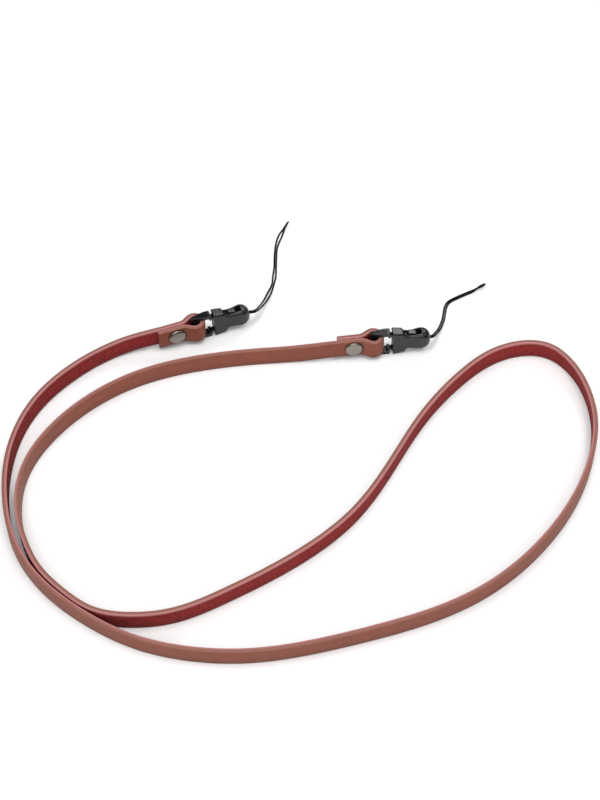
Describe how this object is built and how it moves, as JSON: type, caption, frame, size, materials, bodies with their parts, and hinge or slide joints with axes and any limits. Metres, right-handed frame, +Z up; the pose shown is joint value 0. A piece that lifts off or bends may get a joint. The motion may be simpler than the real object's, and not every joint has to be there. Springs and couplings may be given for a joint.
{
  "type": "camera neck strap",
  "caption": "Narrow leather neck strap standing on its edge in loose loops, with riveted folded ends, slim black quick releases and thin black cord loops.",
  "frame": {"origin": "on the surface the strap lies on, under the middle of the box of the strap, rivets and quick releases, without the cord loops", "axes": "+X along the longest way across the lying loops, +Y away from the front of the lying loops towards the quick releases, +Z up"},
  "size_m": [0.2404, 0.2277, 0.013],
  "materials": {
    "leather": "smooth semi-matt brown grain side, matt dark red flesh side",
    "rivet_metal": "satin nickel plate",
    "black_plastic": "satin moulded plastic",
    "cord": "fine braided cord"
  },
  "bodies": {
    "root": {"strap": "leather", "left_rivet": "rivet_metal", "right_rivet": "rivet_metal", "left_plug": "black_plastic", "right_plug": "black_plastic", "left_socket": "black_plastic", "right_socket": "black_plastic", "left_cord": "cord", "right_cord": "cord"}
  },
  "joints": []
}
